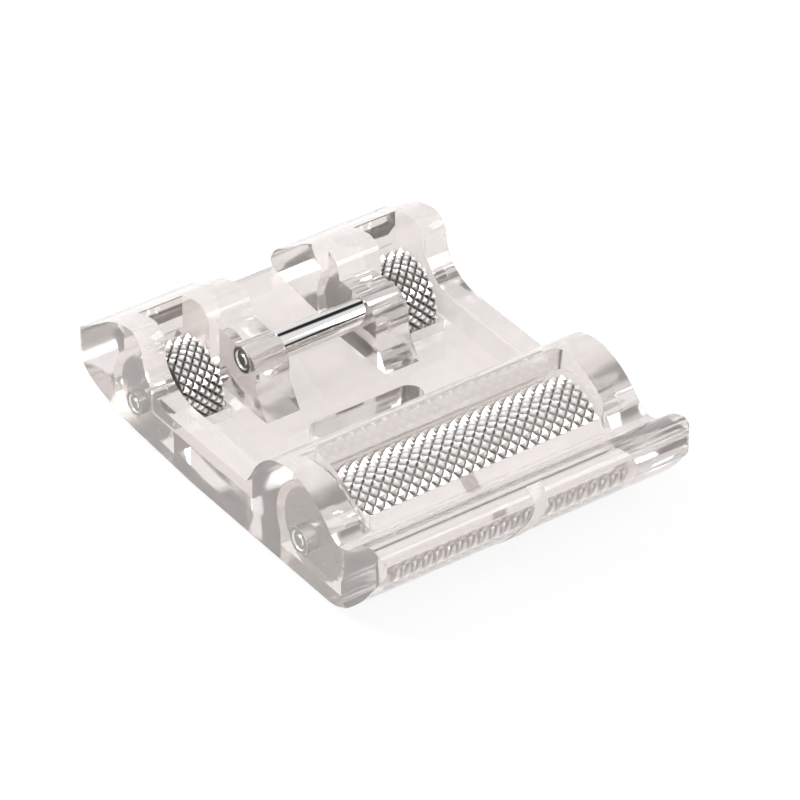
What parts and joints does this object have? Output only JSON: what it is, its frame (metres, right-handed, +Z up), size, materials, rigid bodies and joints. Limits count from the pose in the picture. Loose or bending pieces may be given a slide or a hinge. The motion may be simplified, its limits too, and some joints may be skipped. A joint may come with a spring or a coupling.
{
  "type": "sewing machine roller presser foot",
  "caption": "Clear clip-on presser foot with a long knurled roller under a window in front, short knurled rollers at the back, a needle slot and a steel snap bar between ears.",
  "frame": {"origin": "middle of the footprint, on the plane the rollers stand on", "axes": "+Z up, the toe with the long roller faces -Y, +X to the right seen from the toe"},
  "size_m": [0.025, 0.036, 0.0091],
  "materials": {
    "clear_body": "clear polished",
    "knurled_steel": "bright knurled",
    "polished_steel": "polished"
  },
  "bodies": {
    "foot": {"body": "clear_body", "front_axle": "polished_steel", "rear_axle_left": "polished_steel", "rear_axle_right": "polished_steel", "snap_bar": "polished_steel"},
    "front_roller": {"front_roller": "knurled_steel"},
    "rear_roller_left": {"rear_roller_left": "knurled_steel"},
    "rear_roller_right": {"rear_roller_right": "knurled_steel"}
  },
  "joints": [
    {"name": "front_spin", "type": "hinge", "parent": "foot", "child": "front_roller", "pos_m": [0, -0.0085, 0.0035], "axis": [1, 0, 0], "continuous": true},
    {"name": "rear_left_spin", "type": "hinge", "parent": "foot", "child": "rear_roller_left", "pos_m": [-0.0088, 0.0108, 0.0032], "axis": [1, 0, 0], "continuous": true},
    {"name": "rear_right_spin", "type": "hinge", "parent": "foot", "child": "rear_roller_right", "pos_m": [0.0088, 0.0108, 0.0032], "axis": [1, 0, 0], "continuous": true}
  ]
}
